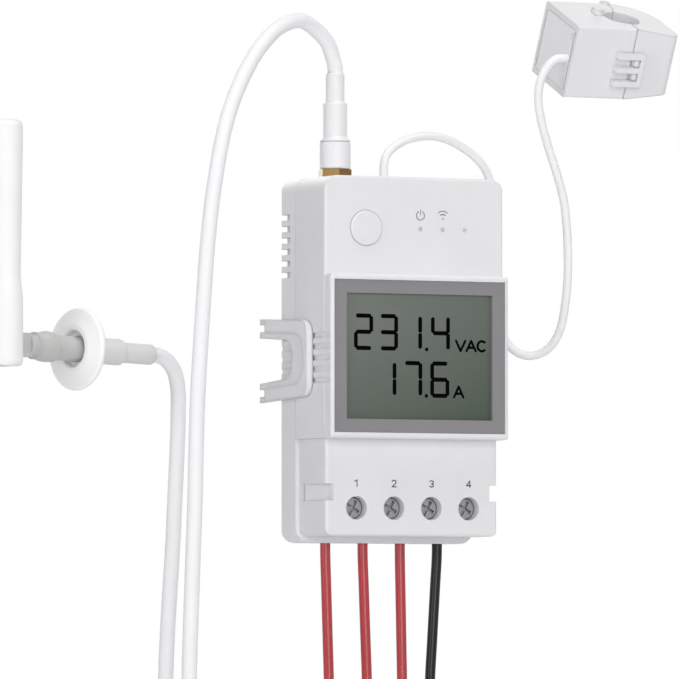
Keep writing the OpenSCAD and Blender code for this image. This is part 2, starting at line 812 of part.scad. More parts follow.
// Side view of a clip: arms that splay from a bar, with round shoulders inside and out
module clip_outline(reach, gap, bar) {
    h = clip_h / 2;
    r = 4;
    inner = 0.75 * gap;
    front = clip_front - bar;
    splay = clip_splay * (reach + clip_front) / clip_l;
    difference() {
        union() {
            polygon([[-reach, -h - splay], [clip_front - r, -h], [clip_front - r, h], [-reach, h + splay]]);
            translate([clip_front - r, -h + r]) square([r, 2 * h - 2 * r]);
            for (z = [-1, 1])
                translate([clip_front - r, z * (h - r)]) circle(r);
        }
        polygon([[-reach - over, -gap - splay], [front - inner, -gap], [front - inner, gap],
            [-reach - over, gap + splay]]);
        translate([front - inner - over, inner - gap]) square([inner + over, 2 * (gap - inner)]);
        for (z = [-1, 1])
            translate([front - inner, z * (gap - inner)]) circle(inner);
    }
}

// A sliding U clip on the left side, with forked arm ends and tongues that ride in the guide grooves
module side_clip() {
    gap = clip_h / 2 - clip_arm;
    fork = gap + clip_splay;
    tongue_l = clip_bar + clip_web - 1.5;
    color("white") translate([-body_w / 2 - slip, 0, clip_z]) rotate([90, 0, -90]) {
        linear_extrude(clip_proud) clip_outline(clip_reach - clip_tail, gap, clip_bar);
        difference() {
            linear_extrude(clip_step) clip_outline(clip_reach, gap - clip_lip, clip_bar + clip_web);
            for (z = [fork, -fork - clip_fork])
                translate([-clip_reach - over, z, -over])
                    cube([clip_tail + over, clip_fork, clip_step + 2 * over]);
        }
        for (z = [-1, 1])
            translate([clip_front - tongue_l - 1.5, z * groove_pitch, groove_r - groove_t - slip])
                rotate([0, 90, 0]) cylinder(r = groove_r - slip, h = tongue_l);
    }
}

module aerial_socket() {
    collar = top_z - wall - 1.6;
    mouth = socket_top - 3;
    color("goldenrod") translate([sma_x, -top_exit_d, 0]) rotate_extrude()
        polygon([[0, socket_tail], [1.6, socket_tail], [1.6, collar], [sma_nut / 2, collar],
            [sma_nut / 2, top_z - wall], [sma_d / 2, top_z - wall], [sma_d / 2, socket_top],
            [neck_r, socket_top], [neck_r, mouth], [0, mouth]]);
}

module aerial_socket_nut() {
    color("darkgoldenrod") translate([sma_x, -top_exit_d, top_z]) difference() {
        rotate(17) cylinder(r = sma_nut / sqrt(3), h = sma_nut_t, $fn = 6);
        translate([0, 0, -over]) cylinder(r = sma_d / 2 + fit, h = sma_nut_t + 2 * over);
    }
}

module plug_coupling() {
    r = coupling_d / 2;
    seat = socket_top + 0.4;
    color("white") translate([sma_x, -top_exit_d, 0]) rotate_extrude()
        polygon([[sma_d / 2 + fit, coupling_base], [r - 0.3, coupling_base], [r, coupling_base + 0.3],
            [r, coupling_top - 0.3], [r - 0.3, coupling_top], [neck_r + fit, coupling_top],
            [neck_r + fit, seat], [sma_d / 2 + fit, seat]]);
}

module plug_sleeve() {
    wide = coupling_d / 2 - 0.1;
    mid = 3.25;
    thin = 2.55;
    color("white") translate([sma_x, -top_exit_d, 0]) rotate_extrude()
        polygon([[0, socket_top + 0.2], [neck_r, socket_top + 0.2], [neck_r, sleeve_base],
            [wide, sleeve_base], [wide, sleeve_base + 0.3], [mid, sleeve_base + 1.3], [mid, sleeve_mid - 0.5],
            [mid - 0.4, sleeve_mid], [thin, sleeve_mid], [thin, sleeve_top - 0.6], [thin - 0.4, sleeve_top],
            [0, sleeve_top]]);
}

module antenna_lead() {
    color("white") tube(antenna_route, coax_d, [0, 1, 0]);
}

// Places its children in the antenna's own frame
module on_antenna() {
    translate(antenna_at) rotate([0, 0, antenna_turn]) rotate([0, -antenna_rise, 0]) children();
}

// A solid of revolution about the antenna's axis, drawn as [radius, distance] points
module antenna_turned(points) {
    on_antenna() rotate([0, 90, 0]) rotate_extrude() polygon(points);
}

module socket_sleeve() {
    color("white") antenna_turned([
        [mouth_r + fit, flange_floor], [sleeve_r[0], flange_floor], [sleeve_r[0], 0.8 - sleeve_l[0]],
        [sleeve_r[0] - 0.5, -sleeve_l[0]], [sleeve_r[1], -sleeve_l[0]], [sleeve_r[1], 0.6 - sleeve_l[1]],
        [sleeve_r[1] - 0.4, -sleeve_l[1]],
        [0, -sleeve_l[1]], [0, -6], [mouth_r + fit, -6]
    ]);
}

module panel_socket() {
    color("goldenrod") antenna_turned([
        [1, -5.8], [mouth_r, -5.8], [mouth_r, 5], [1, 5]
    ]);
}

// The white disc that covers the panel hole, with a domed face and a round rim
module panel_flange() {
    r = flange_d / 2;
    color("white") antenna_turned([
        [sleeve_r[0] + fit, 0], [r - 0.9, 0], [r - 0.26, 0.26], [r, 0.9], [r - 0.12, 1.35], [r - 0.5, 1.7],
        [r - 3, 2.3], [flange_bore / 2 + 1.6, flange_t], [flange_bore / 2 + 0.4, flange_t],
        [flange_bore / 2, flange_t - 0.4], [flange_bore / 2, flange_floor], [sleeve_r[0] + fit, flange_floor]
    ]);
}

module antenna_barrel() {
    r = barrel_d / 2;
    ridge = r + 0.5;
    ridge_x = barrel_end - 6.4;
    tip = r - 0.3;
    color("silver") {
        antenna_turned([
            [mouth_r + fit, barrel_front], [tip, barrel_front], [tip, 6.4], [r, 9.4],
            [ridge - 0.1, ridge_x - 2.2], [ridge - 0.1, ridge_x - 1], [ridge, ridge_x - 0.6],
            [ridge, ridge_x + 0.6], [ridge - 0.1, ridge_x + 1], [ridge - 0.1, ridge_x + 1.5],
            [r, ridge_x + 3], [r, barrel_end - 2.2], [r - 0.5, barrel_end - 2], [r - 0.5, barrel_end - 0.4],
            [r - 0.9, barrel_end],
            [0, barrel_end], [0, 5.4], [mouth_r + fit, 5.4]
        ]);
        on_antenna() difference() {
            rotate([90, 0, 0]) translate([0, 0, -tongue_t / 2]) linear_extrude(tongue_t) {
                translate([barrel_end - 1, -knuckle_r]) square([mast_out - barrel_end + 1, 2 * knuckle_r]);
                translate([mast_out, 0]) circle(knuckle_r);
            }
            translate([mast_out, 0, 0]) rotate([90, 0, 0])
                cylinder(r = mast_pin_d / 2 + fit, h = 2 * tongue_t, center = true);
        }
    }
}

// Places its children at the mast's pin, with Z up the mast
module on_mast() {
    translate(antenna_point(mast_out)) rotate([0, 0, antenna_turn]) children();
}

module antenna_mast() {
    slot = tongue_t / 2 + 0.2;
    swing = knuckle_r + room;
    tip = mast_r + 0.2;
    waist = mast_r - 0.35;
    color("white") on_mast() difference() {
        rotate_extrude() polygon([
            [0, -mast_foot], [mast_base_r - 1.2, -mast_foot], [mast_base_r - 0.36, 0.36 - mast_foot],
            [mast_base_r, 1.2 - mast_foot], [mast_base_r, 12], [waist, 18], [tip, mast_l - 6],
            [tip, mast_l - 1.6],
            [tip - 0.5, mast_l - 0.5], [tip - 1.6, mast_l], [0, mast_l]
        ]);
        rotate([90, 0, 0]) translate([0, 0, -slot]) linear_extrude(2 * slot) {
            circle(swing);
            translate([-2 * mast_d, -mast_foot - over]) square([2 * mast_d, mast_foot + over + swing]);
            translate([-2 * mast_d, -mast_foot - over]) square([2 * mast_d + swing, mast_foot + over]);
        }
        rotate([90, 0, 0]) cylinder(r = mast_pin_d / 2 + fit, h = mast_pin_l + 2 * slip, center = true);
        translate([0, 0, 8]) cylinder(r = 1.6, h = mast_l - 11);
    }
}

module antenna_radiator() {
    color("goldenrod") on_mast() translate([0, 0, 8]) {
        cylinder(r = 0.8, h = mast_l - 14);
        cylinder(r = 1.6 - fit, h = 16);
    }
}

module antenna_pin() {
    color("silver") on_mast() rotate([90, 0, 0])
        cylinder(r = mast_pin_d / 2, h = mast_pin_l, center = true);
}

// A collar in the top wall that the clamp lead passes through
module lead_grommet() {
    hole = ct_lead_d / 2 + 1;
    color("white") translate([lead_exit[0], -top_exit_d, top_z - wall]) {
        cylinder(r = hole - fit, h = wall);
        translate([0, 0, -0.8]) cylinder(r = hole + 0.8, h = 0.8);
    }
}

module clamp_lead() {
    color("white") tube(clamp_route, ct_lead_d, [0, 1, 0]);
}

// Places its children in the current clamp's own frame
module on_clamp() {
    translate(ct_at) rotate([ct_lean, 0, 0]) children();
}

// Barrels of the clamp's hinge, between two heights
module hinge_barrel(z0, z1, r) {
    translate([ct_hinge[0], ct_hinge[1], z0]) cylinder(r = r, h = z1 - z0);
}

// The conductor's way through the clamp, with a lead-in at both ends
module window() {
    lead_in = 0.8;
    flare = 1.25 * (lead_in + over);
    cylinder(r = bore_r, h = 2 * ct_h, center = true);
    for (end = [0, 1])
        mirror([0, 0, end]) translate([0, 0, ct_h / 2 - lead_in])
            cylinder(r1 = bore_r, r2 = bore_r + flare, h = lead_in + over);
}

module clamp_body() {
    w = ct_fixed_w;
    half = ct_h / 2;
    lug = [2.4, 2.6, 1.6];
    color("white") on_clamp() difference() {
        union() {
            intersection() {
                translate([-w, -ct_d / 2, -ct_h / 2]) cube([w - seam, ct_d, ct_h]);
                translate([-seam, 0, 0]) rotate([90, 0, -90]) linear_extrude(w) round_rect(ct_d, ct_h, 0.6);
            }
            hinge_barrel(knuckle_z + slip, half, ct_hinge_r);
            hinge_barrel(-half, -knuckle_z - slip, ct_hinge_r);
            translate([-bore_r - lug[0] - 1.2, -0.4, half - over]) cube([lug[0], lug[1], lug[2] + over]);
        }
        window();
        translate([-w - over, -ct_d / 2 + lid_rim, -ct_h / 2 + lid_rim])
            cube([lid_t + over, ct_d - 2 * lid_rim, ct_h - 2 * lid_rim]);
        translate([-w, -core_out - slip, -ct_h / 2 + lid_rim + 0.4])
            cube([w - core_in - slip, 2 * (core_out + slip), ct_h - 2 * lid_rim - 0.8]);
        for (side = [-1, 1])
            translate([-w / 2, side * (core_in + core_out) / 2, 0])
                cube([w, core_t + 2 * slip, core_h + 2 * slip], center = true);
        hinge_barrel(-knuckle_z, knuckle_z, ct_hinge_r + room);
        hinge_barrel(-ct_h, ct_h, ct_pin_r + fit);
    }
}

// The end cover lies in a recess, with two small snap slots near the front
module clamp_end_cover() {
    slot = [1, 0.7, 2];
    color("whitesmoke") on_clamp() difference() {
        translate([lid_face, -ct_d / 2 + lid_rim + fit, -ct_h / 2 + lid_rim + fit])
            cube([lid_t, ct_d - 2 * lid_rim - 2 * fit, ct_h - 2 * lid_rim - 2 * fit]);
        for (z = [-1, 1])
            translate([lid_face, -ct_d / 2 + lid_rim + 0.9, z * 6.6]) cube(slot, center = true);
    }
}

// The fixed half of the iron core: a back leg between two side legs
module clamp_core_fixed() {
    color("dimgray") on_clamp() {
        for (side = [-1, 1])
            translate([-core_back / 2 - seam / 2, side * (core_in + core_out) / 2, 0])
                cube([core_back - seam, core_t, core_h], center = true);
        translate([-core_back, -core_out, -core_h / 2]) cube([core_t, 2 * core_out, core_h]);
    }
}

// The winding round the core's back leg
module clamp_winding() {
    wind_y = core_in - 0.2;
    wind_h = ct_h / 2 - lid_rim - 0.6;
    back = lid_face + lid_t;
    color("peru") on_clamp() difference() {
        translate([back, -wind_y, -wind_h]) cube([-core_in - room - back, 2 * wind_y, 2 * wind_h]);
        translate([-core_back, -core_out, -core_h / 2]) cube([core_t, 2 * core_out, core_h]);
    }
}

// The hinged cap, with two snap teeth at the seam
module clamp_cap() {
    w = ct_cap_w;
    half = ct_h / 2;
    front_r = 2.5;
    tooth_h = prong_pitch - prong_h - 0.45;
    color("whitesmoke") on_clamp() {
        difference() {
            union() {
                intersection() {
                    translate([0, 0, -half]) linear_extrude(ct_h) {
                        translate([seam, -ct_d / 2]) square([w - seam - ring_r, ct_d]);
                        translate([seam, -ct_d / 2 + front_r]) square([w - seam, ct_d - front_r - ring_r]);
                        translate([seam, -ct_d / 2]) square([w - seam - front_r, ct_d / 2]);
                        translate([w - front_r, -ct_d / 2 + front_r]) circle(front_r);
                        translate([w - ring_r, ct_d / 2 - ring_r]) circle(ring_r);
                    }
                    translate([0, ct_d / 2 + over, 0]) rotate([90, 0, 0]) linear_extrude(ct_d + 2 * over)
                        polygon([[0, -half], [w, ct_taper - half], [w, half - ct_taper], [0, half]]);
                }
                hinge_barrel(-knuckle_z + slip, knuckle_z - slip, ct_hinge_r);
            }
            window();
            translate([0, 0, -core_h / 2 - slip]) rotate(-90) rotate_extrude(angle = 180)
                translate([core_in - slip, 0]) square([core_t + 2 * slip, core_h + 2 * slip]);
            hinge_barrel(knuckle_z, half + over, ct_hinge_r + room);
            hinge_barrel(-half - over, -knuckle_z, ct_hinge_r + room);
            hinge_barrel(-ct_h, ct_h, ct_pin_r + fit);
        }
        for (z = [-1, 1])
            translate([0.3, -ct_d / 2 - 1.5, latch_z + z * prong_pitch / 2 - tooth_h / 2])
                cube([1.4, 1.7, tooth_h]);
    }
}

module clamp_core_moving() {
    color("dimgray") on_clamp() translate([seam, 0, -core_h / 2]) rotate(-90) rotate_extrude(angle = 180)
        translate([core_in, 0]) square([core_t, core_h]);
}

// The latch strap on the cap's front, with three prongs that reach over the seam
module clamp_latch() {
    prong_l = 7.1;
    strap_h = 2 * prong_pitch + prong_h;
    color("whitesmoke") on_clamp() {
        translate([strap_x[0], strap_y, latch_z - strap_h / 2])
            cube([strap_x[1] - strap_x[0], -ct_d / 2 - strap_y, strap_h]);
        for (z = [-1 : 1])
            translate([strap_x[0] - prong_l, strap_y, latch_z + z * prong_pitch - prong_h / 2])
                cube([prong_l + over, -ct_d / 2 - strap_y - slip, prong_h]);
    }
}

module clamp_pin() {
    color("silver") on_clamp() hinge_barrel(-ct_h / 2, ct_h / 2, ct_pin_r);
}

rear_cover();
front_housing();
housing_screws();
display_bezel();
display_glass();
light_guide();
display_board();
main_board();
board_header();
relay();
power_transformer();
bulk_capacitors();
radio_module();
rf_pigtail();
clamp_inner_lead();
button_cap();
switch_plunger();
button_switch();
light_pipes();
indicator_lights();
terminal_block();
contact_bars();
wire_cores();
terminal_screw(0);  // terminal_screw_1
terminal_screw(1);  // terminal_screw_2
terminal_screw(2);  // terminal_screw_3
terminal_screw(3);  // terminal_screw_4
wire_clamp(0);  // wire_clamp_1
wire_clamp(1);  // wire_clamp_2
wire_clamp(2);  // wire_clamp_3
wire_clamp(3);  // wire_clamp_4
wire(0, "firebrick");  // wire_red_1
wire(1, "firebrick");  // wire_red_2
wire(2, "firebrick");  // wire_red_3
wire(3, "black");  // wire_black
wire_ferrules();
side_clip();  // side_clip_left
mirror([1, 0, 0]) side_clip();  // side_clip_right
aerial_socket();
aerial_socket_nut();
plug_coupling();
plug_sleeve();
antenna_lead();
socket_sleeve();
panel_socket();
panel_flange();
antenna_barrel();
antenna_mast();
antenna_radiator();
antenna_pin();
lead_grommet();
clamp_lead();
clamp_body();
clamp_end_cover();
clamp_core_fixed();
clamp_winding();
clamp_cap();
clamp_core_moving();
clamp_latch();
clamp_pin();
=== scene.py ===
import math

import bpy
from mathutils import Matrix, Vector


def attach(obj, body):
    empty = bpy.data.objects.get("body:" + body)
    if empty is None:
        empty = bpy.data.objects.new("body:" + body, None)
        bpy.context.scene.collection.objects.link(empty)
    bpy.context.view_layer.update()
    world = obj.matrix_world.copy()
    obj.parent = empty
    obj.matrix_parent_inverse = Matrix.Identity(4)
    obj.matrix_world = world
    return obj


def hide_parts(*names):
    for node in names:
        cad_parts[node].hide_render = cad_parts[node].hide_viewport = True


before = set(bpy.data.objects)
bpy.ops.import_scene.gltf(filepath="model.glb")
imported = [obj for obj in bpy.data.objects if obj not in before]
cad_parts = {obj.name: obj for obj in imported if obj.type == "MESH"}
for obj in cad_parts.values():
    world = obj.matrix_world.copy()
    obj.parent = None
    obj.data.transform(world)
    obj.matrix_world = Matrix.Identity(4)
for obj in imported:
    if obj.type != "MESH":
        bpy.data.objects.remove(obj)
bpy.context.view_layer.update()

MM = 0.001
scene = bpy.context.scene
scene.view_settings.view_transform = "Standard"


def tone(red, green, blue):
    """A display colour, 0 to 255, as the linear colour that a shader socket takes."""
    linear = []
    for level in (red, green, blue):
        level = level / 255
        linear.append(level / 12.92 if level <= 0.04045 else ((level + 0.055) / 1.055) ** 2.4)
    return (*linear, 1.0)


def aim(thing, place, target):
    """Puts a camera or light at place, in metres, looking at target."""
    thing.location = place
    thing.rotation_euler = (Vector(target) - Vector(place)).to_track_quat("-Z", "Y").to_euler()
    scene.collection.objects.link(thing)


def shown_to(tree, kinds, usual, shown, surface):
    """Puts the shader shown on the surface for these kinds of ray, and the usual one for the rest."""
    path = tree.nodes.new("ShaderNodeLightPath")
    factor = path.outputs[kinds[0]]
    for kind in kinds[1:]:
        either = tree.nodes.new("ShaderNodeMath")
        either.operation = "MAXIMUM"
        tree.links.new(factor, either.inputs[0])
        tree.links.new(path.outputs[kind], either.inputs[1])
        factor = either.outputs[0]
    choice = tree.nodes.new("ShaderNodeMixShader")
    tree.links.new(factor, choice.inputs["Fac"])
    tree.links.new(usual.outputs[0], choice.inputs[1])
    tree.links.new(shown.outputs[0], choice.inputs[2])
    tree.links.new(choice.outputs[0], surface)


def finish(name, colour, rough, grain=0.05, edge=0.25 * MM, metal=0.0, gloss=0.5, mottle=0.02):
    """A material with softly rounded edges, a fine grain and a faint unevenness of colour."""
    patch_scale, grain_size, grain_depth = 60.0, 0.35 * MM, 0.05 * MM
    patch_stops = (0.3, 0.7)
    material = bpy.data.materials.new(name)
    material.use_nodes = True
    tree = material.node_tree
    shader = tree.nodes["Principled BSDF"]
    shader.inputs["Roughness"].default_value = rough
    shader.inputs["Metallic"].default_value = metal
    shader.inputs["Specular IOR Level"].default_value = gloss
    place = tree.nodes.new("ShaderNodeTexCoord")
    patches = tree.nodes.new("ShaderNodeTexNoise")
    patches.inputs["Scale"].default_value = patch_scale
    patches.inputs["Detail"].default_value = 3.0
    tree.links.new(place.outputs["Object"], patches.inputs["Vector"])
    shades = tree.nodes.new("ShaderNodeValToRGB")
    for stop, position, share in zip(shades.color_ramp.elements, patch_stops, (1 - mottle, 1 + mottle)):
        stop.position = position
        stop.color = (*(min(1.0, level * share) for level in colour[:3]), 1.0)
    tree.links.new(patches.outputs[0], shades.inputs["Fac"])
    tree.links.new(shades.outputs["Color"], shader.inputs["Base Color"])
    speckle = tree.nodes.new("ShaderNodeTexNoise")
    speckle.inputs["Scale"].default_value = 1 / grain_size
    speckle.inputs["Detail"].default_value = 2.0
    tree.links.new(place.outputs["Object"], speckle.inputs["Vector"])
    relief = tree.nodes.new("ShaderNodeBump")
    relief.inputs["Strength"].default_value = grain
    relief.inputs["Distance"].default_value = grain_depth
    tree.links.new(speckle.outputs[0], relief.inputs["Height"])
    if edge:
        rounding = tree.nodes.new("ShaderNodeBevel")
        rounding.samples = 6
        rounding.inputs["Radius"].default_value = edge
        tree.links.new(rounding.outputs["Normal"], relief.inputs["Normal"])
    tree.links.new(relief.outputs["Normal"], shader.inputs["Normal"])
    return material


world = bpy.data.worlds.new("studio")
world.use_nodes = True
scene.world = world
sky = world.node_tree
sky.nodes.clear()
ambient = sky.nodes.new("ShaderNodeBackground")
ambient.inputs["Color"].default_value = (0.985, 0.985, 1.0, 1.0)
ambient.inputs["Strength"].default_value = 0.23
backdrop = sky.nodes.new("ShaderNodeBackground")
backdrop.inputs["Color"].default_value = (1.0, 1.0, 1.0, 1.0)
backdrop.inputs["Strength"].default_value = 1.0
surround = sky.nodes.new("ShaderNodeOutputWorld")
shown_to(
    sky,
    ("Is Camera Ray", "Is Glossy Ray", "Is Transmission Ray"),
    ambient,
    backdrop,
    surround.inputs["Surface"],
)

camera_place = (-1.0283, -1.9874, -0.0794)
camera_target = (-0.00707, 0.0038, 0.00631)
camera = bpy.data.objects.new("camera", bpy.data.cameras.new("camera"))
camera.data.sensor_width = 36
camera.data.lens = 437.9
camera.data.clip_start = 0.05
aim(camera, camera_place, camera_target)
scene.camera = camera

for label, power, size, place, target in (
    ("main_light", 17.5, 1.2, (-0.42, -1.9, 0.4), (0.0, -0.01, 0.0)),
    ("left_light", 8, 1.0, (-1.84, -0.66, 0.4), (0.0, -0.01, 0.0)),
    ("top_light", 18, 1.0, (0.1, -0.3, 2.0), (0.0, 0.0, 0.0)),
    ("back_light", 9, 1.0, (0.3, 2.0, 0.6), (0.0, 0.0, 0.0)),
):
    lamp = bpy.data.lights.new(label, "AREA")
    lamp.energy = power
    lamp.size = size
    aim(bpy.data.objects.new(label, lamp), place, target)

floor_z, floor_half = -0.17, 3.0
corners = ((-1, -1), (1, -1), (1, 1), (-1, 1))
floor_mesh = bpy.data.meshes.new("floor")
floor_mesh.from_pydata(
    [(x * floor_half, y * floor_half, floor_z) for x, y in corners], [], [(0, 1, 2, 3)]
)
floor = bpy.data.objects.new("floor", floor_mesh)
scene.collection.objects.link(floor)
pale = finish("floor", tone(238, 238, 238), 0.9, grain=0.0, edge=0.0, gloss=0.0, mottle=0.0)
paint = pale.node_tree
glow = paint.nodes.new("ShaderNodeEmission")
glow.inputs["Color"].default_value = tone(244, 244, 245)
shown_to(
    paint,
    ("Is Camera Ray", "Is Glossy Ray"),
    paint.nodes["Principled BSDF"],
    glow,
    paint.nodes["Material Output"].inputs["Surface"],
)
floor_mesh.materials.append(pale)


# The housing: two white moulded shells, the rear one at the wall and the front one with the raised
# display block and the set-back terminal section, drawn together by four screws from the rear.
def dress(material, *nodes):
    """Gives these CAD nodes that material alone."""
    for node in nodes:
        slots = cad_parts[node].data.materials
        slots.clear()
        slots.append(material)


white_shell = finish("white_shell", tone(230, 229, 231), 0.42, edge=0.45 * MM)
steel = finish("steel", tone(158, 158, 160), 0.5, metal=0.3, edge=0.2 * MM)
dress(white_shell, "rear_cover", "front_housing")
dress(steel, "housing_screws")

# The display: a grey bezel in the display block, the grey-green glass behind it with the bezel's shadow
# painted on it as a darkening towards its lower right, and the dark figures, here a voltage and a
# current. Light guide and board sit behind.
dress(finish("bezel", tone(132, 130, 133), 0.5, edge=0.12 * MM), "display_bezel")

# The glass colour darkens towards its lower right: painted shade standing in for the bezel's shadow on
# the glass.
glass_unshaded, glass_painted_shade = tone(116, 122, 115), tone(72, 83, 73)
painted_shade_reach, painted_shade_slope = 60 * MM, -2.2
glass = finish("display", glass_unshaded, 0.3, grain=0.0, edge=0.0, gloss=0.25, mottle=0.0)
tree = glass.node_tree
sides = tree.nodes.new("ShaderNodeSeparateXYZ")
tree.links.new(tree.nodes["Texture Coordinate"].outputs["Object"], sides.inputs[0])
slope = tree.nodes.new("ShaderNodeMath")
slope.operation = "MULTIPLY_ADD"
slope.inputs[1].default_value = painted_shade_slope
tree.links.new(sides.outputs["Z"], slope.inputs[0])
tree.links.new(sides.outputs["X"], slope.inputs[2])
across = tree.nodes.new("ShaderNodeMapRange")
across.inputs["From Min"].default_value = -painted_shade_reach
across.inputs["From Max"].default_value = painted_shade_reach
tree.links.new(slope.outputs[0], across.inputs["Value"])
shades = tree.nodes.new("ShaderNodeValToRGB")
shades.color_ramp.elements[0].color = glass_unshaded
shades.color_ramp.elements[1].color = glass_painted_shade
tree.links.new(across.outputs[0], shades.inputs["Fac"])
tree.links.new(shades.outputs["Color"], tree.nodes["Principled BSDF"].inputs["Base Color"])
dress(glass, "display_glass")
dress(finish("light_guide", tone(205, 212, 208), 0.3), "light_guide")
circuit_board = finish("circuit_board", tone(38, 88, 58), 0.45)
dress(circuit_board, "display_board")


def printed(name, outlines, depth, material):
    """Flat marks on a front face: outlines are (x, z) lists and depth is from the wall, in mm."""
    points, faces = [], []
    for outline in outlines:
        faces.append(list(range(len(points), len(points) + len(outline))))
        points += [(x * MM, -depth * MM, z * MM) for x, z in outline]
    mesh = bpy.data.meshes.new(name)
    mesh.from_pydata(points, [], faces)
    mesh.materials.append(material)
    mark = bpy.data.objects.new(name, mesh)
    scene.collection.objects.link(mark)
    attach(mark, "housing")


def bar(start, end, width):
    """The outline of a straight stroke with round ends."""
    (x0, z0), (x1, z1) = start, end
    turn = math.atan2(z1 - z0, x1 - x0)
    steps = 8
    outline = []
    for (x, z), first in (((x1, z1), -0.5), ((x0, z0), 0.5)):
        for i in range(steps + 1):
            angle = turn + math.pi * (first + i / steps)
            outline.append((x + math.cos(angle) * width / 2, z + math.sin(angle) * width / 2))
    return outline


def strokes(line, width):
    """A line of points drawn as joined strokes."""
    return [bar(start, end, width) for start, end in zip(line, line[1:])]


def arc(centre, radii, degrees):
    """Points on an ellipse, at these angles from its right."""
    turns = [math.radians(angle) for angle in degrees]
    (x, z), (wide, tall) = centre, radii
    return [(x + wide * math.cos(turn), z + tall * math.sin(turn)) for turn in turns]


def figure(digit, left, low, wide, tall, width, gap):
    """The lit bars of a seven-bar figure."""
    x0, x1 = left + width / 2, left + wide - width / 2
    z0, z1, z2 = low + width / 2, low + tall / 2, low + tall - width / 2
    inset = width / 2 + gap
    bars = {
        "a": ((x0 + inset, z2), (x1 - inset, z2)),
        "b": ((x1, z2 - inset), (x1, z1 + inset)),
        "c": ((x1, z1 - inset), (x1, z0 + inset)),
        "d": ((x0 + inset, z0), (x1 - inset, z0)),
        "e": ((x0, z1 - inset), (x0, z0 + inset)),
        "f": ((x0, z2 - inset), (x0, z1 + inset)),
        "g": ((x0 + inset, z1), (x1 - inset, z1)),
    }
    lit = {"1": "bc", "2": "abged", "3": "abgcd", "4": "fgbc", "6": "acdefg", "7": "abc"}
    return [bar(*bars[name], width) for name in lit[digit]]


glass_front = 28.2
ink_depth = 0.02
digit_wide, digit_tall, digit_width, digit_gap = 5.75, 9.75, 1.12, 0.03
upper_row, lower_row = 2.25, -10.2
lit_marks = []
for digit, left, low in (
    ("2", -19.3, upper_row),
    ("3", -11.8, upper_row),
    ("1", -4.55, upper_row),
    ("4", 3.9, upper_row),
    ("1", -12.3, lower_row),
    ("7", -4.5, lower_row),
    ("6", 3.7, lower_row),
):
    lit_marks += figure(digit, left, low, digit_wide, digit_tall, digit_width, digit_gap)
point_width, point_low, point_high = 1.0, 0.45, 0.5
for x, low in ((2.6, upper_row), (2.5, lower_row)):
    lit_marks += strokes([(x, low + point_low), (x, low + point_high)], point_width)
letter_width = 0.66
unit_letters = (
    [(11.5, 5.2), (12.9, 2.5), (14.3, 5.2)],
    [(14.7, 2.5), (16.1, 5.2), (17.5, 2.5)],
    [(15.25, 3.4), (16.95, 3.4)],
    [(10.9, -9.95), (12.3, -7.15), (13.7, -9.95)],
    [(11.45, -9.0), (13.15, -9.0)],
    arc((19.35, 3.85), (1.3, 1.35), range(50, 311, 20)),
)
for line in unit_letters:
    lit_marks += strokes(line, letter_width)
segment_ink = finish("segment_ink", tone(8, 9, 8), 0.9, grain=0.0, edge=0.0, gloss=0.0)
printed("display_figures", lit_marks, glass_front + ink_depth, segment_ink)

# The controls on the upper panel: one round button flush with the face, acting through a plunger on
# the switch behind, and three small light pipes, two of them under printed icons.
black_plastic = finish("black_plastic", tone(36, 36, 38), 0.5)
dress(white_shell, "button_cap")
dress(black_plastic, "switch_plunger", "button_switch")
dress(finish("light_pipe", tone(200, 200, 202), 0.35, edge=0.0), "light_pipes")
dress(finish("lamp", tone(225, 228, 200), 0.3), "indicator_lights")

panel_front = 26.2
icon_width, dot_width = 0.24, 0.5
power_x, power_z, power_radius = 1.8, 38.7, 1.2
wave_x, wave_z, wave_radii = 8.6, 38.0, (1.15, 2.05)
ring = arc((power_x, power_z), (power_radius, power_radius), range(118, 423, 15))
icons = strokes(ring, icon_width)
icons += strokes([(power_x, power_z + 0.2), (power_x, power_z + 1.5)], icon_width)
for radius in wave_radii:
    icons += strokes(arc((wave_x, wave_z), (radius, radius), range(48, 133, 12)), icon_width)
icons += strokes([(wave_x, wave_z - 0.05), (wave_x, wave_z)], dot_width)
icon_ink = finish("icon_ink", tone(146, 146, 149), 0.6, grain=0.0, edge=0.0)
printed("panel_icons", icons, panel_front + ink_depth, icon_ink)

# The inner works behind the closed housing: main board with header, relay, transformer, capacitors
# and radio module, and the inner end of the aerial lead.
dress(circuit_board, "main_board")
dress(black_plastic, "board_header", "bulk_capacitors", "rf_pigtail")
dress(finish("blue_plastic", tone(44, 82, 150), 0.45), "relay")
dress(finish("transformer", tone(206, 186, 74), 0.5), "power_transformer")
dress(finish("shield", tone(190, 190, 192), 0.3, metal=1.0), "radio_module")

# The screw terminals: a block behind four driver holes, each with a cross-slotted screw that draws a
# wire box up under its contact bar. Plain numbers stand over the holes.
brass = finish("brass", tone(124, 98, 60), 0.28, metal=1.0, edge=0.1 * MM)
copper = finish("copper", tone(196, 122, 84), 0.3, metal=1.0, edge=0.1 * MM)
dress(finish("terminal_plastic", tone(206, 206, 208), 0.5), "terminal_block")
dress(brass, "contact_bars", *(f"wire_clamp_{i}" for i in range(1, 5)))
dress(copper, "wire_cores")
dress(steel, *(f"terminal_screw_{i}" for i in range(1, 5)))

